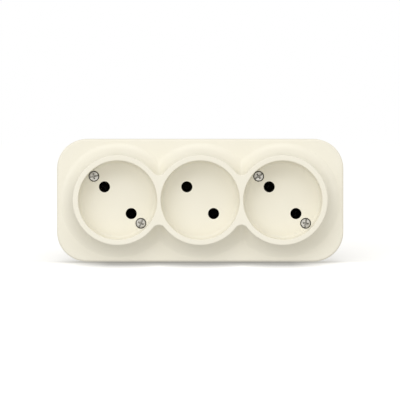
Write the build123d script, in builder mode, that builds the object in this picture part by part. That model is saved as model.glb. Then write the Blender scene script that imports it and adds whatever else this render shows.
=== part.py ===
"""Surface-mounted triple wall socket with two-pin outlets, in millimetres.

One ivory cover carries three round recesses. It is screwed to a base plate that holds two brass
bus bars, six contact clips with their steel springs, and two terminal blocks.
X runs to the right as seen from the front, Z runs up and Y runs into the wall. The origin is the
middle of the face that lies against the wall, so the object fills Y from 0 to -rim_height.
"""

import os
from math import acos, atan2, cos, degrees, radians, sin, sqrt, tan

from build123d import *

os.makedirs("parts", exist_ok=True)

# Cover outline and depth
end_margin = 30.9
body_height = 62.2
corner_radius = 15.2
side_draft = 0.8
rim_height = 35.0
sweep_reach = 7.0
sweep_drop = 10.5
sweep_foot_angle = 84
sweep_steps = 4
lining_steps = 3
cover_wall = 2.2
edge_radius = 1.0
cover_rib_thickness = 1.4
cover_rib_height = 6.0

# Round recesses and the collars round them
socket_pitch = 41.4
rim_radius = 22.6
mouth_radius = 19.8
recess_depth = 10.3
recess_draft = 1.5
floor_radius = 2.0
floor_thickness = 2.5
cup_wall = 2.0
valley_radius = 3.8
valley_root = 0.8
rim_edge_radius = 0.5
mouth_edge_radius = 0.4

# Plug pins, set on a diagonal that falls to the right
pin_spacing = 19.0
pin_hole_radius = 2.8
sleeve_wall = 1.0
sleeve_length = 1.5

# Cover screws in the outer two sockets
upper_screw_reach = 17.0
lower_screw_reach = 16.4
screw_radius = 1.5
screw_length = 16.0
screw_head_radius = 2.55
screw_head_height = 1.9
screw_head_bevel = 0.35
drive_slot_width = 0.75
drive_slot_depth = 0.9
drive_cross_span = 3.0
pocket_clearance = 0.2
head_sink = 0.1
thread_clearance = 0.05
shank_clearance = 0.2
boss_radius = 3.4
boss_length = 8.0
insert_radius = 2.2
insert_length = 6.0
screw_turns = {"left_upper": 12, "left_lower": 66, "right_upper": 35, "right_lower": 80}

# Base plate
base_thickness = 2.5
base_clearance = 0.4
fixing_inset = 6.8
fixing_hole_radius = 2.2
cable_entry_width = 18.0
cable_entry_height = 12.0
cable_entry_inset = 10.0
cable_entry_corner = 3.0
knockout_width = 12.0
knockout_height = 11.0
knockout_skin = 0.9
divider_thickness = 1.6
divider_height = 9.5
edge_rib_thickness = 1.4
edge_rib_height = 4.0
edge_rib_length = 38.0
edge_rib_offset = 33.0

# Bus bars, contact clips and rivets
bus_thickness = 1.0
bus_width = 5.0
bus_gap = 5.4
bus_pad_radius = 3.2
stake_radius = 0.9
stake_offset = 20.7
stake_head_radius = 1.5
stake_head_height = 0.8
stake_head_taper = 20.0
stake_clearance = 0.1
leaf_thickness = 0.6
leaf_width = 5.0
leaf_grip_gap = 4.0
leaf_foot = 2.6
leaf_belly = 3.3
leaf_flare = 3.4
leaf_bend = 0.9
leaf_top_gap = 0.7
grip_height = 4.5
flare_height = 2.4
spring_thickness = 0.5
spring_clearance = 0.2
spring_height = 3.2
rivet_radius = 1.0
rivet_head_radius = 1.8
rivet_head_height = 0.7
rivet_bevel = 0.4
rivet_pocket_clearance = 0.3

# Terminal blocks at the right-hand end
terminal_post_gap = 0.4
terminal_rise = 14.2
terminal_width = 6.4
terminal_length = 7.4
terminal_height = 8.0
wire_hole_radius = 1.7
terminal_screw_radius = 1.6
terminal_head_radius = 2.5
terminal_head_height = 1.9
terminal_screw_length = 5.5
terminal_slot_width = 0.9
terminal_arm_width = 4.4
spigot_radius = 1.4
terminal_floor = 1.0
terminal_chamfer = 0.5
wire_gap = 0.6

# Allowances for cutting and picking, which leave no mark on the finished part
cutter_rise = 1.0
match = 0.01

# Places that follow from the sizes above, as heights in front of the wall
body_length = 2 * (socket_pitch + end_margin)
front = Plane(origin=(0, 0, 0), x_dir=(1, 0, 0), z_dir=(0, -1, 0))
plate_height = rim_height - sweep_drop * sin(radians(sweep_foot_angle))
floor_height = rim_height - recess_depth
floor_back = floor_height - floor_thickness
bus_top = base_thickness + bus_thickness
web_top = bus_top + leaf_thickness
joint_height = floor_back - boss_length
clip_top = floor_back - sleeve_length - leaf_top_gap
diagonal = sqrt(0.5)
pin_step = pin_spacing / 2 * diagonal
bus_line = (bus_gap + bus_width) / 2
socket_places = {"left": -socket_pitch, "middle": 0.0, "right": socket_pitch}
base_length = body_length - 2 * (cover_wall + base_clearance)
base_height = body_height - 2 * (cover_wall + base_clearance)
base_corner = corner_radius - cover_wall - base_clearance
cable_entry_rise = base_height / 2 - cable_entry_inset
fixing_reach = body_length / 2 - fixing_inset

# Every pin, screw and terminal as a place across the front face
pin_places = {}
for socket, centre in socket_places.items():
    pin_places[socket + "_upper"] = (centre - pin_step, pin_step)
    pin_places[socket + "_lower"] = (centre + pin_step, -pin_step)
screw_places = {}
for socket in ("left", "right"):
    centre = socket_places[socket]
    upper_step = upper_screw_reach * diagonal
    lower_step = lower_screw_reach * diagonal
    screw_places[socket + "_upper"] = (centre - upper_step, upper_step)
    screw_places[socket + "_lower"] = (centre + lower_step, -lower_step)
post_edge = socket_pitch + lower_screw_reach * diagonal + boss_radius
terminal_reach = post_edge + terminal_post_gap + terminal_width / 2
terminal_places = {
    "upper": (terminal_reach, terminal_rise),
    "lower": (terminal_reach, -terminal_rise),
}
fixing_places = [(-fixing_reach, 0), (fixing_reach, 0)]
stake_places = {
    "upper_left": (-stake_offset, bus_line),
    "upper_right": (stake_offset, bus_line),
    "lower_left": (-stake_offset, -bus_line),
    "lower_right": (stake_offset, -bus_line),
}
grip_low = clip_top - flare_height - grip_height
screw_end_depth = screw_length - (floor_height - head_sink - screw_head_height - joint_height)


def collar_outline(height, radius, hollow):
    """Three circles in a row whose hollows are rounded, as one face at this height."""
    half_pitch = socket_pitch / 2
    rise = sqrt((radius + hollow) ** 2 - half_pitch**2)
    turn = degrees(atan2(rise, half_pitch))
    with BuildSketch(front.offset(height)) as outline:
        with BuildLine():
            CenterArc((socket_pitch, 0), radius, turn - 180, 360 - 2 * turn)
            CenterArc((half_pitch, rise), hollow, 180 + turn, 180 - 2 * turn)
            CenterArc((0, 0), radius, turn, 180 - 2 * turn)
            CenterArc((-half_pitch, rise), hollow, 180 + turn, 180 - 2 * turn)
            CenterArc((-socket_pitch, 0), radius, turn, 360 - 2 * turn)
            CenterArc((-half_pitch, -rise), hollow, turn, 180 - 2 * turn)
            CenterArc((0, 0), radius, 180 + turn, 180 - 2 * turn)
            CenterArc((half_pitch, -rise), hollow, turn, 180 - 2 * turn)
        make_face()
    return outline.sketch


def collar_sections(wall, first_angle, steps):
    """Sections of the collars from rim to foot, on a hollow sweep one wall inside the outside."""
    sections = []
    for step in range(steps + 1):
        angle = radians(first_angle + (sweep_foot_angle - first_angle) * step / steps)
        radius = rim_radius + sweep_reach - (sweep_reach + wall) * cos(angle)
        height = rim_height - (sweep_drop + wall) * sin(angle)
        hollow = wall + valley_root + (valley_radius - valley_root) * (1 - sin(angle))
        sections.append(collar_outline(height, radius, hollow))
    return sections


# Solid form of the three collars, which stay inside the flat of the block under them
with BuildPart() as collars:
    loft(collar_sections(0, 0, sweep_steps))
    rim_face = collars.faces().sort_by(Axis.Y)[0]
    fillet(rim_face.edges(), radius=rim_edge_radius)
    with BuildSketch(front):
        flat_length = body_length - 2 * edge_radius
        flat_height = body_height - 2 * edge_radius
        RectangleRounded(flat_length, flat_height, corner_radius - edge_radius)
    extrude(amount=rim_height, taper=side_draft, mode=Mode.INTERSECT)

# Solid form of the rounded block that carries the collars
with BuildPart() as block:
    with BuildSketch(front):
        RectangleRounded(body_length, body_height, corner_radius)
    extrude(amount=plate_height, taper=side_draft)
    fillet(block.faces().sort_by(Axis.Y)[0].edges(), radius=edge_radius)

# Room inside the cover, at one wall's distance from its outside
with BuildPart() as cavity:
    cup_radius = mouth_radius + cup_wall
    cup_side = (rim_radius + sweep_reach - cup_radius) / (sweep_reach + cover_wall)
    ceiling = rim_height - (sweep_drop + cover_wall) * sin(radians(sweep_foot_angle))
    inner_length = body_length - 2 * cover_wall
    inner_height = body_height - 2 * cover_wall
    loft(collar_sections(cover_wall, degrees(acos(cup_side)), lining_steps), ruled=True)
    with BuildSketch(front):
        RectangleRounded(inner_length, inner_height, corner_radius - cover_wall)
    extrude(amount=rim_height, taper=side_draft, mode=Mode.INTERSECT)
    with BuildSketch(front):
        RectangleRounded(inner_length, inner_height, corner_radius - cover_wall)
    extrude(amount=ceiling, taper=side_draft)

# The recesses of the three sockets, with a little draft and a soft corner round each floor
with BuildPart() as recesses:
    floor_edge = mouth_radius - recess_depth * tan(radians(recess_draft))
    for centre in socket_places.values():
        section = Plane(origin=(centre, 0, 0), x_dir=(1, 0, 0), z_dir=(0, 0, -1))
        with BuildSketch(section) as profile:
            with BuildLine():
                Polyline((0, floor_height), (floor_edge, floor_height), (mouth_radius, rim_height))
                Polyline((mouth_radius, rim_height), (mouth_radius, rim_height + cutter_rise))
                Polyline((mouth_radius, rim_height + cutter_rise), (0, rim_height + cutter_rise), (0, floor_height))
            make_face()
            floor_corner = profile.vertices().group_by(Axis.Y)[0].sort_by(Axis.X)[-1]
            fillet(floor_corner, radius=floor_radius)
        revolve(axis=Axis((centre, 0, 0), (0, -1, 0)))

# The cover is hollowed, given its cups and bosses, and then cut from the front
with BuildPart() as cover:
    add(block.part)
    add(collars.part)
    add(cavity.part, mode=Mode.SUBTRACT)
    with BuildSketch(front.offset(floor_back)):
        with Locations(*[(centre, 0) for centre in socket_places.values()]):
            Circle(cup_radius)
    extrude(amount=rim_height - mouth_edge_radius - floor_back)
    with BuildSketch(front.offset(joint_height)):
        with Locations(*screw_places.values()):
            Circle(boss_radius)
    extrude(amount=floor_height - joint_height)
    with BuildSketch(front.offset(floor_back - sleeve_length)):
        with Locations(*pin_places.values()):
            Circle(pin_hole_radius + sleeve_wall)
    extrude(amount=sleeve_length)

    # Ribs that stiffen the long sides beside the hollows
    with BuildSketch(front.offset(ceiling - cover_rib_height)):
        rib_inner = sqrt(cup_radius**2 - (socket_pitch / 2) ** 2)
        rib_outer = body_height / 2 - cover_wall / 2
        with GridLocations(socket_pitch, rib_inner + rib_outer, 2, 2):
            Rectangle(cover_rib_thickness, rib_outer - rib_inner)
    extrude(amount=cover_rib_height + cover_wall / 2)
    add(recesses.part, mode=Mode.SUBTRACT)
    with BuildSketch(front.offset(floor_height)):
        with Locations(*pin_places.values()):
            Circle(pin_hole_radius)
    extrude(amount=-(floor_thickness + sleeve_length), mode=Mode.SUBTRACT)
    with BuildSketch(front.offset(rim_height)):
        with Locations(*screw_places.values()):
            Circle(screw_head_radius + pocket_clearance)
    extrude(amount=-(recess_depth + head_sink + screw_head_height), mode=Mode.SUBTRACT)
    with BuildSketch(front.offset(rim_height)):
        with Locations(*screw_places.values()):
            Circle(screw_radius + shank_clearance)
    extrude(amount=-(rim_height - joint_height), mode=Mode.SUBTRACT)

    # Thinned places in both long sides where a cable can be broken through
    for side in (-1, 1):
        skin_face = side * (body_height / 2 - knockout_skin)
        wall_plane = Plane(origin=(0, 0, skin_face), x_dir=(1, 0, 0), z_dir=(0, 0, -side))
        straight = knockout_height - knockout_width / 2
        with BuildSketch(wall_plane):
            with Locations((0, -side * straight / 2)):
                Rectangle(knockout_width, straight)
            with Locations((0, -side * straight)):
                Circle(knockout_width / 2)
        extrude(amount=cover_wall, mode=Mode.SUBTRACT)
    mouths = cover.edges().filter_by(GeomType.CIRCLE)
    mouths = mouths.filter_by(lambda e: abs(e.radius - mouth_radius) < match)
    mouths = mouths.filter_by(lambda e: abs(e.center().Y + rim_height) < match)
    fillet(mouths, radius=mouth_edge_radius)
cover.part.label = "cover"
export_step(cover.part, "parts/cover.step")

# Base plate: a flat tray with pillars for the cover screws and seats for the brass parts
with BuildPart() as base_plate:
    with BuildSketch(front):
        RectangleRounded(base_length, base_height, base_corner)
    extrude(amount=base_thickness)
    with BuildSketch(front.offset(base_thickness)):
        with Locations(*screw_places.values()):
            Circle(boss_radius)
    extrude(amount=joint_height - base_thickness)

    # A wall that keeps the two bus bars apart, and ribs that steady the cover's long sides
    with BuildSketch(front.offset(base_thickness)):
        divider_end = terminal_reach - terminal_arm_width
        Rectangle(2 * divider_end, divider_thickness)
    extrude(amount=divider_height - base_thickness)
    with BuildSketch(front.offset(base_thickness)):
        rib_line = base_height / 2 - edge_rib_thickness
        with GridLocations(2 * edge_rib_offset, 2 * rib_line, 2, 2):
            Rectangle(edge_rib_length, edge_rib_thickness)
    extrude(amount=edge_rib_height)
    with BuildSketch(front.offset(base_thickness)):
        with Locations(*stake_places.values()):
            Circle(stake_radius)
    extrude(amount=bus_thickness)
    with BuildSketch(front.offset(bus_top)):
        with Locations(*stake_places.values()):
            Circle(stake_head_radius)
    extrude(amount=stake_head_height, taper=stake_head_taper)

    # Openings from front to back, and pockets under the rivets and terminal blocks
    with BuildSketch(front.offset(joint_height)):
        with Locations(*screw_places.values()):
            Circle(insert_radius)
    extrude(amount=-insert_length, mode=Mode.SUBTRACT)
    with BuildSketch(front.offset(joint_height)):
        with Locations(*screw_places.values()):
            Circle(screw_radius + shank_clearance)
    extrude(amount=-(screw_end_depth + shank_clearance), mode=Mode.SUBTRACT)
    with BuildSketch(front):
        with Locations(*fixing_places):
            Circle(fixing_hole_radius)
        with Locations((0, cable_entry_rise)):
            RectangleRounded(cable_entry_width, cable_entry_height, cable_entry_corner)
    extrude(amount=base_thickness, mode=Mode.SUBTRACT)
    with BuildSketch(front.offset(base_thickness)):
        with Locations(*pin_places.values()):
            Circle(rivet_head_radius + rivet_pocket_clearance)
        with Locations(*terminal_places.values()):
            Circle(spigot_radius + rivet_pocket_clearance)
    extrude(amount=-(rivet_head_height + rivet_pocket_clearance), mode=Mode.SUBTRACT)
base_plate.part.label = "base_plate"
export_step(base_plate.part, "parts/base_plate.step")

# Bus bars: the upper one joins the upper pins, the lower one the lower pins
for row, side in (("upper", 1), ("lower", -1)):
    row_pins = [place for name, place in pin_places.items() if name.endswith(row)]
    row_stakes = [place for name, place in stake_places.items() if name.startswith(row)]
    first_pin = min(x for x, z in row_pins)
    arm_x, arm_z = terminal_places[row]
    with BuildPart() as bus_bar:
        with BuildSketch(front.offset(base_thickness)):
            run_end = arm_x + terminal_arm_width / 2
            with Locations(((first_pin + run_end) / 2, side * bus_line)):
                Rectangle(run_end - first_pin, bus_width)
            arm_tip = terminal_rise + terminal_length / 2
            with Locations((arm_x, side * (bus_gap / 2 + arm_tip) / 2)):
                Rectangle(terminal_arm_width, arm_tip - bus_gap / 2)
            with Locations(*row_pins):
                Circle(bus_pad_radius)
            with Locations(*row_pins):
                Circle(rivet_radius, mode=Mode.SUBTRACT)
            with Locations((arm_x, arm_z)):
                Circle(spigot_radius, mode=Mode.SUBTRACT)
            with Locations(*row_stakes):
                Circle(stake_radius + stake_clearance, mode=Mode.SUBTRACT)
        extrude(amount=bus_thickness)
    bus_bar.part.label = "bus_bar_" + row
    export_step(bus_bar.part, "parts/bus_bar_" + row + ".step")

# Contact clips, springs and rivets, one set behind every pin hole
for name, (x, z) in pin_places.items():
    across = (diagonal, 0, diagonal)
    leaf_plane = Plane(origin=(x, 0, z), x_dir=across, z_dir=(diagonal, 0, -diagonal))
    with BuildPart() as clip:
        with BuildSketch(leaf_plane):
            with BuildLine():
                middle = leaf_grip_gap / 2 + leaf_thickness / 2
                grip_top = grip_low + grip_height
                web_line = bus_top + leaf_thickness / 2
                half = [
                    (leaf_foot, web_line),
                    (leaf_belly, (web_line + grip_low) / 2),
                    (middle, grip_low),
                    (middle, grip_top),
                    (leaf_flare, clip_top),
                ]
                mirrored = [(-u, h) for u, h in reversed(half)]
                FilletPolyline(*mirrored, *half, radius=leaf_bend)
            trace(line_width=leaf_thickness)
        extrude(amount=leaf_width / 2, both=True)
        with BuildSketch(front.offset(bus_top)):
            with Locations((x, z)):
                Circle(rivet_radius)
        extrude(amount=leaf_thickness, mode=Mode.SUBTRACT)
    clip.part.label = "contact_clip_" + name
    export_step(clip.part, "parts/contact_clip_" + name + ".step")

    # A steel spring bent round the grip, open away from the middle of its socket
    spring_low = grip_low + (grip_height - spring_height) / 2
    spring_plane = Plane(origin=(x, -spring_low, z), x_dir=across, z_dir=(0, -1, 0))
    open_side = 1 if name.endswith("upper") else -1
    with BuildPart() as spring:
        with BuildSketch(spring_plane):
            reach = leaf_grip_gap / 2 + leaf_thickness
            back = leaf_width / 2 + spring_clearance
            Rectangle(2 * (reach + spring_thickness), 2 * (back + spring_thickness))
            Rectangle(2 * reach, 2 * back, mode=Mode.SUBTRACT)
            with Locations((0, open_side * (back + spring_thickness / 2))):
                Rectangle(2 * reach, spring_thickness, mode=Mode.SUBTRACT)
        extrude(amount=spring_height)
        fillet(spring.edges().filter_by(Axis.Y), radius=spring_thickness / 4)
    spring.part.label = "clip_spring_" + name
    export_step(spring.part, "parts/clip_spring_" + name + ".step")

    # A rivet that ties the clip to its bus bar
    with BuildPart() as rivet:
        with BuildSketch(front.offset(web_top)):
            with Locations((x, z)):
                Circle(rivet_head_radius)
        extrude(amount=rivet_head_height)
        crown_edge = rivet.edges().filter_by(GeomType.CIRCLE).sort_by(Axis.Y)[0]
        chamfer(crown_edge, length=rivet_bevel)
        with BuildSketch(front.offset(base_thickness)):
            with Locations((x, z)):
                Circle(rivet_radius)
        extrude(amount=web_top - base_thickness)
        with BuildSketch(front.offset(base_thickness)):
            with Locations((x, z)):
                Circle(rivet_head_radius)
        extrude(amount=-rivet_head_height)
    rivet.part.label = "rivet_" + name
    export_step(rivet.part, "parts/rivet_" + name + ".step")

# Cover screws and the threaded inserts that they turn into
for name, (x, z) in screw_places.items():
    seat = floor_height - head_sink - screw_head_height
    with BuildPart() as screw:
        with BuildSketch(front.offset(seat)):
            with Locations((x, z)):
                Circle(screw_head_radius)
        extrude(amount=screw_head_height)
        crown_edge = screw.edges().filter_by(GeomType.CIRCLE).sort_by(Axis.Y)[0]
        chamfer(crown_edge, length=screw_head_bevel)
        with BuildSketch(front.offset(seat)):
            with Locations((x, z)):
                Circle(screw_radius)
        extrude(amount=-screw_length)
        with BuildSketch(front.offset(seat + screw_head_height)):
            with Locations(Location((x, z), screw_turns[name])):
                Rectangle(2 * screw_head_radius, drive_slot_width)
                Rectangle(drive_slot_width, drive_cross_span)
        extrude(amount=-drive_slot_depth, mode=Mode.SUBTRACT)
    screw.part.label = "cover_screw_" + name
    export_step(screw.part, "parts/cover_screw_" + name + ".step")

    with BuildPart() as insert:
        with BuildSketch(front.offset(joint_height)):
            with Locations((x, z)):
                Circle(insert_radius)
                Circle(screw_radius + thread_clearance, mode=Mode.SUBTRACT)
        extrude(amount=-insert_length)
    insert.part.label = "threaded_insert_" + name
    export_step(insert.part, "parts/threaded_insert_" + name + ".step")

# Terminal blocks that stand on the ends of the bus bars, each with its clamping screw
for name, (x, z) in terminal_places.items():
    block_top = bus_top + terminal_height
    wire_line = bus_top + wire_hole_radius + terminal_floor
    with BuildPart() as block:
        with BuildSketch(front.offset(bus_top)):
            with Locations((x, z)):
                Rectangle(terminal_width, terminal_length)
        extrude(amount=terminal_height)
        chamfer(block.edges().filter_by(Axis.Y), length=terminal_chamfer)
        with BuildSketch(front.offset(base_thickness)):
            with Locations((x, z)):
                Circle(spigot_radius)
        extrude(amount=bus_thickness)
        with BuildSketch(Plane(origin=(x, 0, z), x_dir=(0, 0, 1), z_dir=(1, 0, 0))):
            with Locations((0, wire_line)):
                Circle(wire_hole_radius)
        extrude(amount=terminal_width, both=True, mode=Mode.SUBTRACT)
        with BuildSketch(front.offset(block_top)):
            with Locations((x, z)):
                Circle(terminal_screw_radius + thread_clearance)
        extrude(amount=wire_line - block_top, mode=Mode.SUBTRACT)
    block.part.label = "terminal_block_" + name
    export_step(block.part, "parts/terminal_block_" + name + ".step")

    head_seat = wire_line + wire_gap + terminal_screw_length
    with BuildPart() as terminal_screw:
        with BuildSketch(front.offset(head_seat)):
            with Locations((x, z)):
                Circle(terminal_head_radius)
        extrude(amount=terminal_head_height)
        with BuildSketch(front.offset(head_seat)):
            with Locations((x, z)):
                Circle(terminal_screw_radius)
        extrude(amount=-terminal_screw_length)
        with BuildSketch(front.offset(head_seat + terminal_head_height)):
            with Locations((x, z)):
                Rectangle(2 * terminal_head_radius, terminal_slot_width)
        extrude(amount=-terminal_head_height / 2, mode=Mode.SUBTRACT)
    terminal_screw.part.label = "terminal_screw_" + name
    export_step(terminal_screw.part, "parts/terminal_screw_" + name + ".step")
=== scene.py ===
"""Dresses a surface-mounted triple wall socket: ivory cover, plated screws, brass contacts, studio.

Everything is in metres. X runs to the right as seen from the front, Z runs up and Y runs into the
wall, with the origin in the middle of the face that lies against the wall.
"""

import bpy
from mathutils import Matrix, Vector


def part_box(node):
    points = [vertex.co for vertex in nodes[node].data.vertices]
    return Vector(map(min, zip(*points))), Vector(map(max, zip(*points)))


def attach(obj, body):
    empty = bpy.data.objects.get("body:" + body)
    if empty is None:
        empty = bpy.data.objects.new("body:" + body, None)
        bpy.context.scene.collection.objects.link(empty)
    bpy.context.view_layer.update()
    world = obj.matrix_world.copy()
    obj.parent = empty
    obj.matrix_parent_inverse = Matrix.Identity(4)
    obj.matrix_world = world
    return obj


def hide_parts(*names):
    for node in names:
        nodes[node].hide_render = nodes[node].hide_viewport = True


bl_info = {
    "name": "Triple Wall Socket",
    "version": (1, 0, 0),
    "blender": (4, 5, 0),
    "location": "View3D > Sidebar > Socket",
    "description": "Finishes the cover, screws and metal parts of a triple wall socket",
    "category": "Object",
}

import bmesh
import bpy
import numpy as np
from bpy.props import FloatProperty, FloatVectorProperty, PointerProperty
from mathutils import Vector

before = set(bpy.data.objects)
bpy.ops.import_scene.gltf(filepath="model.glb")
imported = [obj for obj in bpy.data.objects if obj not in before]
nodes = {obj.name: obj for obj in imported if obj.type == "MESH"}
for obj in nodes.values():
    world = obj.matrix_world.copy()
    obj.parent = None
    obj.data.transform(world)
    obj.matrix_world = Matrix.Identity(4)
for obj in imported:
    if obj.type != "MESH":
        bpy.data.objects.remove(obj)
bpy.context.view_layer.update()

MM = 0.001
FLOOR_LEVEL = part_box("cover")[0][2]

# What the camera faces: a point at the level of the recess floors, close to the middle
CAMERA_TARGET = (-0.1 * MM, -24.7 * MM, 0.1 * MM)
SENSOR_WIDTH = 36.0

# The large soft lights: distance, side of the square and slightly cool colour
LAMP_DISTANCE = 1.7
LAMP_SIZE = 1.1
LAMP_COLOUR = (0.98, 0.985, 1.0)

# Sizes that the four cover screws share, and how far each is turned in degrees
SCREW = {
    "head_height": 1.9 * MM,
    "bevel": 0.4 * MM,
    "slot": 0.75 * MM,
    "slot_depth": 0.9 * MM,
    "slot_wall": 0.05 * MM,
    "cross": 3.0 * MM,
    "cross_ramp": 0.35 * MM,
    "under_drop": 0.02 * MM,
    "under_edge": 0.05 * MM,
    "shank": 1.5 * MM,
    "thread_start": 0.6 * MM,
    "thread_full": 1.0 * MM,
    "thread_depth": 0.27 * MM,
    "point": 0.8 * MM,
    "point_taper": 0.5 * MM,
}
SCREW_TURNS = {"left_upper": 12, "left_lower": 66, "right_upper": 35, "right_lower": 80}
SHARP_ANGLE = 35.0


# Meshes


def surface_mesh(name, grids, marks=None):
    """One smooth mesh from grids of points, each an array of rows by columns by three.

    Each grid gives one quad for every square of neighbouring points. Points that coincide are
    merged, so that seams and poles are closed, and the faces are turned to point outwards. Marks
    are grids of numbers from 0 to 1 that say where shade is painted.
    """
    points, faces, start = [], [], 0
    for grid in grids:
        rows, columns = grid.shape[:2]
        index = start + np.arange(rows * columns).reshape(rows, columns)
        quads = np.stack([index[:-1, :-1], index[:-1, 1:], index[1:, 1:], index[1:, :-1]], axis=-1)
        points.append(grid.reshape(-1, 3))
        faces.append(quads.reshape(-1, 4))
        start += rows * columns
    mesh = bpy.data.meshes.new(name)
    mesh.from_pydata(np.concatenate(points), [], np.concatenate(faces))
    if marks is not None:
        # The marks are kept on the mesh as the painted shade that the material reads.
        painted_shade = mesh.attributes.new("painted_shade", "FLOAT", "POINT")
        painted_shade.data.foreach_set("value", np.concatenate([mark.ravel() for mark in marks]))
    work = bmesh.new()
    work.from_mesh(mesh)
    bmesh.ops.remove_doubles(work, verts=work.verts, dist=1e-7)
    bmesh.ops.recalc_face_normals(work, faces=work.faces)
    work.to_mesh(mesh)
    work.free()
    mesh.shade_smooth()
    return mesh


def add_piece(name, mesh, material, node):
    """Shows a mesh as a piece of the socket in place of one of the plain solids."""
    piece = bpy.data.objects.new(name, mesh)
    bpy.context.scene.collection.objects.link(piece)
    mesh.materials.clear()
    mesh.materials.append(material)
    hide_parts(node)
    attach(piece, "root")


def finish_node(name, material):
    """Gives one of the plain solids its finish."""
    mesh = nodes[name].data
    mesh.materials.clear()
    mesh.materials.append(material)


def edge_band(values, low, high):
    """Runs smoothly from 0 to 1 as the values pass from low to high: 3t squared less 2t cubed."""
    t = np.clip((values - low) / (high - low), 0.0, 1.0)
    return t * t * (3.0 - 2.0 * t)


def face_grid(size):
    """Grid of a screw's face, with its height over the seat of the head, and its painted shade.

    The face is a height field over columns x and rows y. Rows are level inside the slot and then
    spread to the circle, so both edges of the slot and of the cross follow grid lines. Its height
    is the head's, less a dome that falls with the square of the distance from the middle, less a
    quarter circle at the rim, less the slot and the cross.
    """
    radius, height, bevel = size["head_radius"], size["head_height"], size["bevel"]
    half_slot, half_cross, wall = size["slot"] / 2, size["cross"] / 2, size["slot_wall"]
    across = radius * np.sin(np.pi / 2 * np.linspace(-1, 1, 57))
    edges = np.array([half_slot - wall, half_slot, half_slot + wall, half_cross])
    x = np.unique(np.concatenate([across, edges, -edges]))
    level, spread = 0.2, 0.28
    rows = np.concatenate(
        [np.linspace(0, level, 5), [(level + spread) / 2], np.linspace(spread, 1, 26)]
    )
    rows = np.concatenate([-rows[:0:-1], rows])
    rim = np.sqrt(np.maximum(radius**2 - x**2, 0))
    inner = np.minimum(half_slot - wall, rim)
    outer = np.minimum(half_slot + wall, rim)
    share = np.abs(rows)[:, None]
    inside = share / level * inner
    between = inner + (share - level) / (spread - level) * (outer - inner)
    beyond = outer + (share - spread) / (1 - spread) * (rim - outer)
    y = np.where(share <= level, inside, np.where(share <= spread, between, beyond))
    y = np.sign(rows)[:, None] * y
    xx = np.broadcast_to(x, y.shape)
    reach = np.hypot(xx, y)

    slot = 1 - edge_band(np.abs(y), half_slot - wall, half_slot + wall)
    arm = 1 - edge_band(np.abs(xx), half_slot - wall, half_slot + wall)
    end = 1 - edge_band(np.abs(y), half_cross - size["cross_ramp"], half_cross)
    cross_deeper, deepest, slot_shade = 1.15, 0.8, 0.4
    dip = np.maximum(slot, arm * end * cross_deeper) * size["slot_depth"]
    crown = size["dome"] * (reach / radius) ** 2
    roll = bevel * (1 - np.sqrt(1 - np.clip((reach - radius + bevel) / bevel, 0, 1) ** 2))
    z = height - crown - roll - np.minimum(dip, height * deepest)
    # Painted shade: a dark ring at the edge of the head, and a lighter darkening in the slot and
    # the cross.
    rim_shade = edge_band(reach, 0.78 * radius, 0.97 * radius)
    painted_shade = np.maximum(rim_shade, slot_shade * np.maximum(slot, arm * end))
    return np.stack([xx, y, z], axis=-1), painted_shade


def skirt_grid(size, rim):
    """Grid of a screw's side, underside and thread, over the seat of the head, and its painted
    shade.

    It is a profile turned about the axis through the points of the rim. The thread is a radius
    that falls and rises as a triangle wave of the depth along the axis, in pitches, less the
    share of a turn.
    """
    radius, pitch, length = size["head_radius"], size["pitch"], size["length"]
    angle = np.arctan2(rim[:, 1], rim[:, 0])
    turns = np.linspace(0.0, 1.0, int(length / pitch * 8) + 1)[1:]
    depth = np.concatenate([[0.0, size["under_drop"]], turns * length])[:, None]
    sides = np.full(turns.size, size["shank"])
    profile = np.concatenate([[radius, radius - size["under_edge"]], sides])[:, None]
    wave = np.abs(((depth / pitch - angle / (2 * np.pi)) % 1.0) * 2 - 1)
    cut = edge_band(depth, size["thread_start"], size["thread_full"]) * size["thread_depth"] * wave
    point = edge_band(depth, length - size["point"], length) * size["point_taper"]
    around = profile - np.where(depth > size["under_edge"], cut + point, 0.0)
    z = np.broadcast_to(-depth, around.shape)
    skirt = np.stack([around * np.cos(angle), around * np.sin(angle), z], axis=-1)
    tip = np.broadcast_to([0.0, 0.0, -length], rim.shape)
    skirt = np.concatenate([rim[None], skirt, tip[None]])
    # Painted shade: the outer edge, side and underside of the head are fully darkened, and the
    # shank a little.
    shank_shade, head_rows = 0.25, 3
    painted_shade = np.full(skirt.shape[:2], shank_shade)
    painted_shade[:head_rows] = 1.0
    return skirt, painted_shade


def place_on_front(grid, centre, seat, turn):
    """Turns a grid about its own axis and sets it on the front: height off the wall is -Y."""
    c, s = np.cos(np.radians(turn)), np.sin(np.radians(turn))
    x = centre[0] + c * grid[..., 0] - s * grid[..., 1]
    z = centre[1] + s * grid[..., 0] + c * grid[..., 1]
    return np.stack([x, -seat - grid[..., 2], z], axis=-1)


def screw_mesh(name, size, centre, seat, turn):
    """A pan screw that points into the wall: its face, and the skirt that hangs from its rim."""
    face, face_shade = face_grid(size)
    rim = np.concatenate([face[-1], face[0, -2::-1]])
    skirt, skirt_shade = skirt_grid(size, rim)
    grids = [place_on_front(grid, centre, seat, turn) for grid in (face, skirt)]
    mesh = surface_mesh(name, grids, [face_shade, skirt_shade])
    mesh.set_sharp_from_angle(angle=np.radians(SHARP_ANGLE))
    return mesh


# Shader groups


def new_group(name, inputs, outputs):
    """A shader node group with named sockets, and its input and output nodes."""
    group = bpy.data.node_groups.new(name, "ShaderNodeTree")
    for label, kind, default in inputs:
        socket = group.interface.new_socket(name=label, in_out="INPUT", socket_type=kind)
        if default is not None:
            socket.default_value = default
    for label, kind in outputs:
        group.interface.new_socket(name=label, in_out="OUTPUT", socket_type=kind)
    return group, group.nodes.new("NodeGroupInput"), group.nodes.new("NodeGroupOutput")


def feed(tree, value, entry):
    """Links a socket to an input, or sets the input to a plain number."""
    if isinstance(value, bpy.types.NodeSocket):
        tree.links.new(value, entry)
    else:
        entry.default_value = value


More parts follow.
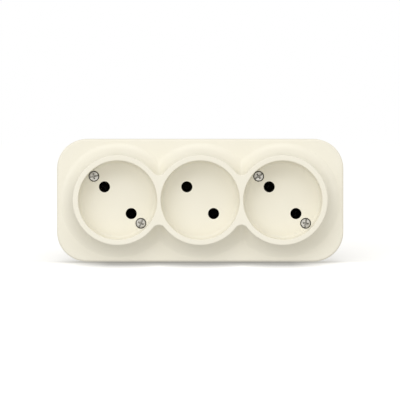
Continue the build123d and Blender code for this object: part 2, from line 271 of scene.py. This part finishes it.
def math_node(tree, operation, *values, clamp=False):
    """One arithmetic step on sockets or plain numbers."""
    node = tree.nodes.new("ShaderNodeMath")
    node.operation = operation
    node.use_clamp = clamp
    for value, entry in zip(values, node.inputs):
        feed(tree, value, entry)
    return node.outputs[0]


def noise_node(tree, vector, scale, detail, roughness):
    """A noise from 0 to 1."""
    node = tree.nodes.new("ShaderNodeTexNoise")
    feed(tree, vector, node.inputs["Vector"])
    feed(tree, scale, node.inputs["Scale"])
    feed(tree, detail, node.inputs["Detail"])
    feed(tree, roughness, node.inputs["Roughness"])
    return node.outputs["Fac"]


def range_node(tree, value, ends, kind="LINEAR"):
    """Takes a value from one range to another. The ends are named as the node's inputs are."""
    node = tree.nodes.new("ShaderNodeMapRange")
    node.interpolation_type = kind
    feed(tree, value, node.inputs["Value"])
    for label, end in ends.items():
        feed(tree, end, node.inputs[label])
    return node.outputs["Result"]


def mix_node(tree, amount, first, second):
    """Runs from the first colour to the second as the amount goes from 0 to 1."""
    node = tree.nodes.new("ShaderNodeMix")
    node.data_type = "RGBA"
    feed(tree, amount, node.inputs["Factor"])
    feed(tree, first, node.inputs["A"])
    feed(tree, second, node.inputs["B"])
    return node.outputs["Result"]


SKIN_OUTPUTS = [
    ("Colour", "NodeSocketColor"),
    ("Roughness", "NodeSocketFloat"),
    ("Height", "NodeSocketFloat"),
]


def moulded_grain_group():
    """Fine skin of moulded plastic: a tone that drifts slowly, and a grain of two noises."""
    group, entry, out = new_group(
        "moulded_grain",
        [
            ("Vector", "NodeSocketVector", None),
            ("Colour", "NodeSocketColor", (0.8, 0.8, 0.8, 1.0)),
            ("Shade", "NodeSocketColor", (0.7, 0.7, 0.7, 1.0)),
            ("Drift Size", "NodeSocketFloat", 60.0),
            ("Grain Size", "NodeSocketFloat", 2500.0),
            ("Gloss Low", "NodeSocketFloat", 0.3),
            ("Gloss High", "NodeSocketFloat", 0.4),
        ],
        SKIN_OUTPUTS,
    )
    given = entry.outputs
    drift = noise_node(group, given["Vector"], given["Drift Size"], 3.0, 0.55)
    grain = noise_node(group, given["Vector"], given["Grain Size"], 2.0, 0.6)
    amount = math_node(group, "MULTIPLY_ADD", drift, 2.4, -0.7, clamp=True)
    colour = mix_node(group, amount, given["Colour"], given["Shade"])
    gloss = {"To Min": given["Gloss Low"], "To Max": given["Gloss High"]}
    feed(group, colour, out.inputs["Colour"])
    feed(group, range_node(group, grain, gloss), out.inputs["Roughness"])
    height = math_node(group, "ADD", grain, math_node(group, "MULTIPLY", drift, 0.5))
    feed(group, height, out.inputs["Height"])


def worked_metal_group():
    """Rolled or plated metal: streaks along one way, dull patches, small pits and painted shade."""
    group, entry, out = new_group(
        "worked_metal",
        [
            ("Vector", "NodeSocketVector", None),
            ("Colour", "NodeSocketColor", (0.8, 0.8, 0.8, 1.0)),
            ("Dull Colour", "NodeSocketColor", (0.5, 0.5, 0.5, 1.0)),
            ("Streak Size", "NodeSocketFloat", 900.0),
            ("Patch Size", "NodeSocketFloat", 350.0),
            ("Dullness", "NodeSocketFloat", 0.4),
            ("Gloss Low", "NodeSocketFloat", 0.25),
            ("Gloss High", "NodeSocketFloat", 0.5),
            # Painted shade: how strongly the metal is darkened, and towards which colour.
            ("Painted Shade", "NodeSocketFloat", 0.0),
            ("Painted Shade Colour", "NodeSocketColor", (0.02, 0.018, 0.016, 1.0)),
        ],
        SKIN_OUTPUTS,
    )
    given = entry.outputs
    stretch = group.nodes.new("ShaderNodeMapping")
    stretch.inputs["Scale"].default_value = (0.08, 1.0, 1.0)
    feed(group, given["Vector"], stretch.inputs["Vector"])
    streak = noise_node(group, stretch.outputs["Vector"], given["Streak Size"], 4.0, 0.6)
    patch = noise_node(group, given["Vector"], given["Patch Size"], 5.0, 0.65)
    spread = math_node(group, "SUBTRACT", patch, 0.42)
    spread = math_node(group, "MULTIPLY", spread, 5.0, clamp=True)
    dull = math_node(group, "MULTIPLY", spread, given["Dullness"], clamp=True)
    colour = mix_node(group, dull, given["Colour"], given["Dull Colour"])
    # Painted shade: the mask, made uneven by the patches, darkens the colour and makes it more
    # matt.
    uneven = math_node(group, "ADD", patch, 0.55)
    shade_amount = math_node(group, "MULTIPLY", given["Painted Shade"], uneven, clamp=True)
    feed(group, mix_node(group, shade_amount, colour, given["Painted Shade Colour"]), out.inputs["Colour"])
    both = math_node(group, "ADD", math_node(group, "MULTIPLY", streak, 0.5), dull)
    gloss = range_node(group, both, {"To Min": given["Gloss Low"], "To Max": given["Gloss High"]})
    matt = math_node(group, "MULTIPLY", shade_amount, 0.35)
    feed(group, math_node(group, "ADD", gloss, matt, clamp=True), out.inputs["Roughness"])
    height = math_node(group, "ADD", streak, math_node(group, "MULTIPLY", patch, 0.6))
    feed(group, height, out.inputs["Height"])


def pin_hole_group():
    """Painted shade inside the pin holes: 1 within the reach of a pin's axis, and 0 further off.

    The upper and the lower holes each repeat at one pitch along X. The distance to an axis is the
    root of the sum of the squares of the wrapped X and of Z, each less the hole's own place.
    """
    group, entry, out = new_group(
        "pin_hole_tarnish",
        [
            ("Vector", "NodeSocketVector", None),
            ("Pitch", "NodeSocketFloat", 41.4 * MM),
            ("Step", "NodeSocketFloat", 6.72 * MM),
            ("Inner Reach", "NodeSocketFloat", 2.95 * MM),
            ("Outer Reach", "NodeSocketFloat", 3.4 * MM),
        ],
        [("Mask", "NodeSocketFloat")],
    )
    given = entry.outputs
    parts = group.nodes.new("ShaderNodeSeparateXYZ")
    feed(group, given["Vector"], parts.inputs["Vector"])
    half = math_node(group, "MULTIPLY", given["Pitch"], 0.5)
    minus_half = math_node(group, "MULTIPLY", given["Pitch"], -0.5)
    distances = []
    for sign in (1.0, -1.0):
        shift = math_node(group, "MULTIPLY", given["Step"], sign)
        across = math_node(group, "ADD", parts.outputs["X"], shift)
        across = math_node(group, "WRAP", across, half, minus_half)
        up = math_node(group, "SUBTRACT", parts.outputs["Z"], shift)
        squares = [math_node(group, "MULTIPLY", side, side) for side in (across, up)]
        distances.append(math_node(group, "SQRT", math_node(group, "ADD", *squares)))
    nearest = math_node(group, "MINIMUM", *distances)
    ends = {
        "From Min": given["Inner Reach"],
        "From Max": given["Outer Reach"],
        "To Min": 1.0,
        "To Max": 0.0,
    }
    feed(group, range_node(group, nearest, ends, "SMOOTHSTEP"), out.inputs["Mask"])


def skin_material(name, group, colours, numbers, metallic, relief, painted_shade=None):
    """A material whose colour, gloss and relief come from one of the shared groups.

    Relief is the strength and the depth of the bumps. Painted shade is the name of the mesh's own
    marks of painted shade, or of the group that says where that shade lies.
    """
    material = bpy.data.materials.new(name)
    material.use_nodes = True
    tree = material.node_tree
    shader = tree.nodes["Principled BSDF"]
    shader.inputs["Metallic"].default_value = metallic
    place = tree.nodes.new("ShaderNodeTexCoord")
    skin = tree.nodes.new("ShaderNodeGroup")
    skin.node_tree = bpy.data.node_groups[group]
    feed(tree, place.outputs["Object"], skin.inputs["Vector"])
    for label, colour in colours.items():
        skin.inputs[label].default_value = (*colour, 1.0)
    for label, number in numbers.items():
        skin.inputs[label].default_value = number
    # Painted shade comes from the pin hole group, or from the mesh's own marks.
    if painted_shade == "pin_hole_tarnish":
        marks = tree.nodes.new("ShaderNodeGroup")
        marks.node_tree = bpy.data.node_groups[painted_shade]
        feed(tree, place.outputs["Object"], marks.inputs["Vector"])
        feed(tree, marks.outputs["Mask"], skin.inputs["Painted Shade"])
    elif painted_shade is not None:
        marks = tree.nodes.new("ShaderNodeAttribute")
        marks.attribute_name = painted_shade
        feed(tree, marks.outputs["Fac"], skin.inputs["Painted Shade"])
    bump = tree.nodes.new("ShaderNodeBump")
    bump.inputs["Strength"].default_value, bump.inputs["Distance"].default_value = relief
    feed(tree, skin.outputs["Height"], bump.inputs["Height"])
    feed(tree, skin.outputs["Colour"], shader.inputs["Base Color"])
    feed(tree, skin.outputs["Roughness"], shader.inputs["Roughness"])
    feed(tree, bump.outputs["Normal"], shader.inputs["Normal"])
    return material


# Settings


def colour_setting(name, description, default):
    """A colour that the sidebar shows."""
    return FloatVectorProperty(
        name=name,
        description=description,
        subtype="COLOR",
        size=3,
        min=0.0,
        max=1.0,
        default=default,
    )


def measure_setting(name, description, unit, default):
    """A length or a power that the sidebar shows."""
    return FloatProperty(name=name, description=description, unit=unit, default=default)


class SocketPlasticSettings(bpy.types.PropertyGroup):
    """Colours of the moulded pieces."""

    cover_colour: colour_setting(
        "Cover Colour", "Main colour of the ivory cover", (0.86, 0.828, 0.716)
    )
    cover_shade: colour_setting(
        "Cover Shade", "Slightly warmer tone into which the cover drifts", (0.845, 0.811, 0.693)
    )
    base_colour: colour_setting(
        "Base Colour", "Colour of the base plate behind the cover", (0.68, 0.655, 0.57)
    )


class SocketScrewSettings(bpy.types.PropertyGroup):
    """Sizes and colour of the four cover screws."""

    dome: measure_setting(
        "Head Dome", "How far the middle of a head stands above its edge", "LENGTH", 0.12 * MM
    )
    pitch: measure_setting(
        "Thread Pitch", "Distance from one turn of the thread to the next", "LENGTH", 0.5 * MM
    )
    zinc_colour: colour_setting("Zinc Colour", "Colour of the plating", (0.53, 0.515, 0.475))


class SocketMetalSettings(bpy.types.PropertyGroup):
    """Colours of the metal parts behind the cover."""

    brass_colour: colour_setting(
        "Brass Colour",
        "Colour of the bus bars, contact clips, inserts and terminal blocks",
        (0.70, 0.50, 0.21),
    )
    steel_colour: colour_setting(
        "Spring Steel Colour", "Colour of the springs round the clips", (0.33, 0.34, 0.36)
    )


class SocketStageSettings(bpy.types.PropertyGroup):
    """Camera and light."""

    view_width: measure_setting(
        "View Width",
        "Width of what the camera sees, at the level of the recess floors",
        "LENGTH",
        201.04 * MM,
    )
    camera_distance: measure_setting(
        "Camera Distance", "From the camera to the recess floors", "LENGTH", 3.0
    )
    key_power: measure_setting(
        "Key Light", "Power of the large soft light high in front", "POWER", 7.5
    )
    side_power: measure_setting(
        "Side Light", "Power of the large soft light to the left", "POWER", 6.3
    )
    right_power: measure_setting(
        "Right Light", "Power of the large soft light far to the right", "POWER", 3.4
    )
    front_power: measure_setting(
        "Front Light", "Power of the large soft light straight in front", "POWER", 4.1
    )
    sky: FloatProperty(
        name="Room Light",
        description="Strength of the even light from all round",
        min=0.0,
        default=0.59,
    )


# Operators


class SOCKET_OT_stage(bpy.types.Operator):
    """Sets up a plain pale floor, soft light and the camera straight in front."""

    bl_idname = "triple_socket.stage"
    bl_label = "Studio"

    def execute(self, context):
        settings = context.scene.socket_stage
        self.make_floor()
        self.make_room_light(settings.sky)
        self.make_lamp("key_light", 0.0, 50.0, settings.key_power)
        self.make_lamp("side_light", -40.0, 20.0, settings.side_power)
        self.make_lamp("right_light", 75.0, 20.0, settings.right_power)
        self.make_lamp("front_light", 0.0, -10.0, settings.front_power)
        self.make_camera(settings.camera_distance, settings.view_width)
        context.scene.view_settings.view_transform = "Standard"
        return {"FINISHED"}

    def make_camera(self, distance, width):
        """Looks straight along Y, with a lens that is the sensor times distance over width."""
        lens = bpy.data.cameras.new("camera")
        lens.sensor_width = SENSOR_WIDTH
        lens.lens = SENSOR_WIDTH * distance / width
        lens.clip_start, lens.clip_end = 0.05, 50.0
        camera = bpy.data.objects.new("camera", lens)
        bpy.context.scene.collection.objects.link(camera)
        camera.location = Vector(CAMERA_TARGET) - Vector((0.0, distance, 0.0))
        camera.rotation_euler = (np.pi / 2, 0.0, 0.0)
        bpy.context.scene.camera = camera

    def make_floor(self):
        """A floor that is level under the socket, falls slowly in front and rises slowly behind.

        Its height is the floor level less the slope times the smoothed distance in front of the
        long sides, and plus the slope times that behind the wall face. The smoothing is the
        logarithm of one plus the exponential of the distance over a soft length, times that length.
        """
        half_width, front, back = 0.9, -0.7, 0.4
        fall_from, rise_from, gap = 23.0 * MM, 6.0 * MM, 0.02 * MM
        soft, slope = 3.0 * MM, 0.16
        across = np.linspace(-half_width, half_width, 61)
        along = np.linspace(front, back, 551)
        ahead = soft * np.logaddexp(0, (-along - fall_from) / soft)
        behind = soft * np.logaddexp(0, (along - rise_from) / soft)
        xx, yy = np.meshgrid(across, along)
        shape = slope * (behind - ahead)
        level = FLOOR_LEVEL - gap + np.broadcast_to(shape[:, None], xx.shape)
        mesh = surface_mesh("floor", [np.stack([xx, yy, level], axis=-1)])
        mesh.materials.append(self.floor_material())
        floor = bpy.data.objects.new("floor", mesh)
        bpy.context.scene.collection.objects.link(floor)
        floor.visible_diffuse = False
        floor.visible_glossy = False
        floor.visible_shadow = False

    def floor_material(self):
        """Matt white that darkens close to what stands on it, as a soft contact shadow.

        The shadow grows weaker under the rounded ends, in a straight line with distance along X.
        """
        open_tone, contact_tone, half_open = 0.93, 0.4, 0.5
        full_until, gone_from, reach = 46.0 * MM, 78.0 * MM, 16.0 * MM
        material = bpy.data.materials.new("pale_floor")
        material.use_nodes = True
        tree = material.node_tree
        shader = tree.nodes["Principled BSDF"]
        shader.inputs["Roughness"].default_value = 0.8
        shader.inputs["Specular IOR Level"].default_value = 0.1
        shader.inputs["Emission Strength"].default_value = 0.3
        openness = tree.nodes.new("ShaderNodeAmbientOcclusion")
        openness.inputs["Distance"].default_value = reach
        place = tree.nodes.new("ShaderNodeTexCoord")
        parts = tree.nodes.new("ShaderNodeSeparateXYZ")
        feed(tree, place.outputs["Object"], parts.inputs["Vector"])
        aside = math_node(tree, "ABSOLUTE", parts.outputs["X"])
        ends = {
            "From Min": full_until,
            "From Max": gone_from,
            "To Min": contact_tone,
            "To Max": open_tone,
        }
        darkest = range_node(tree, aside, ends)
        ends = {"From Min": half_open, "To Min": darkest, "To Max": open_tone}
        tone = range_node(tree, openness.outputs["AO"], ends)
        feed(tree, tone, shader.inputs["Base Color"])
        feed(tree, tone, shader.inputs["Emission Color"])
        return material

    def make_room_light(self, strength):
        """Even light from all round, with plain white where nothing stands."""
        world = bpy.data.worlds.new("room")
        bpy.context.scene.world = world
        world.use_nodes = True
        tree = world.node_tree
        tree.nodes.clear()
        light = tree.nodes.new("ShaderNodeBackground")
        light.inputs["Color"].default_value = (1.0, 0.98, 0.93, 1.0)
        light.inputs["Strength"].default_value = strength
        plain = tree.nodes.new("ShaderNodeBackground")
        plain.inputs["Color"].default_value = (1.0, 1.0, 1.0, 1.0)
        path = tree.nodes.new("ShaderNodeLightPath")
        mix = tree.nodes.new("ShaderNodeMixShader")
        out = tree.nodes.new("ShaderNodeOutputWorld")
        feed(tree, path.outputs["Is Camera Ray"], mix.inputs["Fac"])
        feed(tree, light.outputs["Background"], mix.inputs[1])
        feed(tree, plain.outputs["Background"], mix.inputs[2])
        feed(tree, mix.outputs["Shader"], out.inputs["Surface"])

    def make_lamp(self, name, azimuth, elevation, power):
        """A large square soft light that faces the middle of the socket. Angles are in degrees."""
        turn, rise = np.radians(azimuth), np.radians(elevation)
        way = (np.sin(turn) * np.cos(rise), -np.cos(turn) * np.cos(rise), np.sin(rise))
        place = LAMP_DISTANCE * Vector(way)
        data = bpy.data.lights.new(name, "AREA")
        data.shape = "SQUARE"
        data.size = LAMP_SIZE
        data.energy = power
        data.color = LAMP_COLOUR
        lamp = bpy.data.objects.new(name, data)
        bpy.context.scene.collection.objects.link(lamp)
        lamp.location = place
        lamp.rotation_mode = "QUATERNION"
        lamp.rotation_quaternion = (-place).to_track_quat("-Z", "Y")
        lamp.visible_camera = False


class SOCKET_OT_plastic(bpy.types.Operator):
    """Gives the cover its ivory plastic and the base plate its plainer one."""

    bl_idname = "triple_socket.plastic"
    bl_label = "Cover and Base"

    def execute(self, context):
        settings = context.scene.socket_plastic
        cover = skin_material(
            "ivory_plastic",
            "moulded_grain",
            {"Colour": settings.cover_colour, "Shade": settings.cover_shade},
            {"Drift Size": 38.0, "Grain Size": 3200.0, "Gloss Low": 0.30, "Gloss High": 0.42},
            metallic=0.0,
            relief=(0.12, 0.02 * MM),
        )
        cover.node_tree.nodes["Principled BSDF"].inputs["IOR"].default_value = 1.49
        finish_node("cover", cover)
        base_shade = [0.93 * part for part in settings.base_colour]
        base = skin_material(
            "base_plastic",
            "moulded_grain",
            {"Colour": settings.base_colour, "Shade": base_shade},
            {"Drift Size": 45.0, "Grain Size": 1800.0, "Gloss Low": 0.45, "Gloss High": 0.65},
            metallic=0.0,
            relief=(0.35, 0.04 * MM),
        )
        finish_node("base_plate", base)
        return {"FINISHED"}


class SOCKET_OT_screws(bpy.types.Operator):
    """Makes the four cover screws with their slot and cross drives and threads."""

    bl_idname = "triple_socket.screws"
    bl_label = "Cover Screws"

    def execute(self, context):
        settings = context.scene.socket_screws
        # The zinc is darkened by painted shade from the screws' own marks, towards the darkest
        # colour given.
        zinc = skin_material(
            "zinc_plating",
            "worked_metal",
            {
                "Colour": settings.zinc_colour,
                "Dull Colour": (0.27, 0.262, 0.24),
                "Painted Shade Colour": (0.13, 0.124, 0.105),
            },
            {"Streak Size": 1500.0, "Patch Size": 700.0, "Gloss Low": 0.26, "Gloss High": 0.5},
            metallic=1.0,
            relief=(0.3, 0.03 * MM),
            painted_shade="painted_shade",
        )
        for place, turn in SCREW_TURNS.items():
            node = "cover_screw_" + place
            low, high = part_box(node)
            centre = ((low[0] + high[0]) / 2, (low[2] + high[2]) / 2)
            seat = -low[1] - SCREW["head_height"]
            size = dict(SCREW, dome=settings.dome, pitch=settings.pitch)
            size["head_radius"] = (high[0] - low[0]) / 2
            size["length"] = seat + high[1]
            mesh = screw_mesh(node, size, centre, seat, turn)
            add_piece("machined_screw_" + place, mesh, zinc, node)
        finish_node("terminal_screw_upper", zinc)
        finish_node("terminal_screw_lower", zinc)
        return {"FINISHED"}


class SOCKET_OT_metal(bpy.types.Operator):
    """Gives the brass, spring steel and plated steel parts their finishes."""

    bl_idname = "triple_socket.metal"
    bl_label = "Contacts and Terminals"

    def execute(self, context):
        settings = context.scene.socket_metal
        # Brass, spring steel and nickel plating are darkened by painted shade inside the pin holes.
        brass = skin_material(
            "rolled_brass",
            "worked_metal",
            {"Colour": settings.brass_colour, "Dull Colour": (0.34, 0.21, 0.09)},
            {"Streak Size": 1200.0, "Patch Size": 300.0, "Gloss Low": 0.22, "Gloss High": 0.5},
            metallic=1.0,
            relief=(0.25, 0.03 * MM),
            painted_shade="pin_hole_tarnish",
        )
        steel = skin_material(
            "tempered_spring_steel",
            "worked_metal",
            {"Colour": settings.steel_colour, "Dull Colour": (0.16, 0.15, 0.17)},
            {"Streak Size": 1600.0, "Patch Size": 500.0, "Gloss Low": 0.3, "Gloss High": 0.55},
            metallic=1.0,
            relief=(0.25, 0.02 * MM),
            painted_shade="pin_hole_tarnish",
        )
        plated = skin_material(
            "nickel_plating",
            "worked_metal",
            {"Colour": (0.66, 0.64, 0.60), "Dull Colour": (0.42, 0.40, 0.36)},
            {"Streak Size": 1400.0, "Patch Size": 700.0, "Gloss Low": 0.18, "Gloss High": 0.4},
            metallic=1.0,
            relief=(0.2, 0.02 * MM),
            painted_shade="pin_hole_tarnish",
        )
        finishes = {
            "bus_bar": brass,
            "contact_clip": brass,
            "threaded_insert": brass,
            "terminal_block": brass,
            "clip_spring": steel,
            "rivet": plated,
        }
        for start, material in finishes.items():
            for name in nodes:
                if name.startswith(start):
                    finish_node(name, material)
        return {"FINISHED"}


class SOCKET_PT_sidebar(bpy.types.Panel):
    """Lists the steps that dress the socket, each with its settings."""

    bl_idname = "SOCKET_PT_sidebar"
    bl_label = "Triple Wall Socket"
    bl_space_type = "VIEW_3D"
    bl_region_type = "UI"
    bl_category = "Socket"

    def draw(self, context):
        scene = context.scene
        lights = ("key_power", "side_power", "right_power", "front_power", "sky")
        steps = (
            ("plastic", scene.socket_plastic, ("cover_colour", "cover_shade", "base_colour")),
            ("screws", scene.socket_screws, ("dome", "pitch", "zinc_colour")),
            ("metal", scene.socket_metal, ("brass_colour", "steel_colour")),
            ("stage", scene.socket_stage, ("view_width", "camera_distance", *lights)),
        )
        for step, settings, labels in steps:
            self.layout.operator("triple_socket." + step)
            for label in labels:
                self.layout.prop(settings, label)


classes = (
    SocketPlasticSettings,
    SocketScrewSettings,
    SocketMetalSettings,
    SocketStageSettings,
    SOCKET_OT_stage,
    SOCKET_OT_plastic,
    SOCKET_OT_screws,
    SOCKET_OT_metal,
    SOCKET_PT_sidebar,
)


def register():
    for each in classes:
        bpy.utils.register_class(each)
    bpy.types.Scene.socket_plastic = PointerProperty(type=SocketPlasticSettings)
    bpy.types.Scene.socket_screws = PointerProperty(type=SocketScrewSettings)
    bpy.types.Scene.socket_metal = PointerProperty(type=SocketMetalSettings)
    bpy.types.Scene.socket_stage = PointerProperty(type=SocketStageSettings)


def unregister():
    del bpy.types.Scene.socket_stage
    del bpy.types.Scene.socket_metal
    del bpy.types.Scene.socket_screws
    del bpy.types.Scene.socket_plastic
    for each in reversed(classes):
        bpy.utils.unregister_class(each)


def main():
    """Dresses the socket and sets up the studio."""
    register()
    moulded_grain_group()
    worked_metal_group()
    pin_hole_group()
    bpy.ops.triple_socket.plastic()
    bpy.ops.triple_socket.screws()
    bpy.ops.triple_socket.metal()
    bpy.ops.triple_socket.stage()


if __name__ == "__main__":
    main()
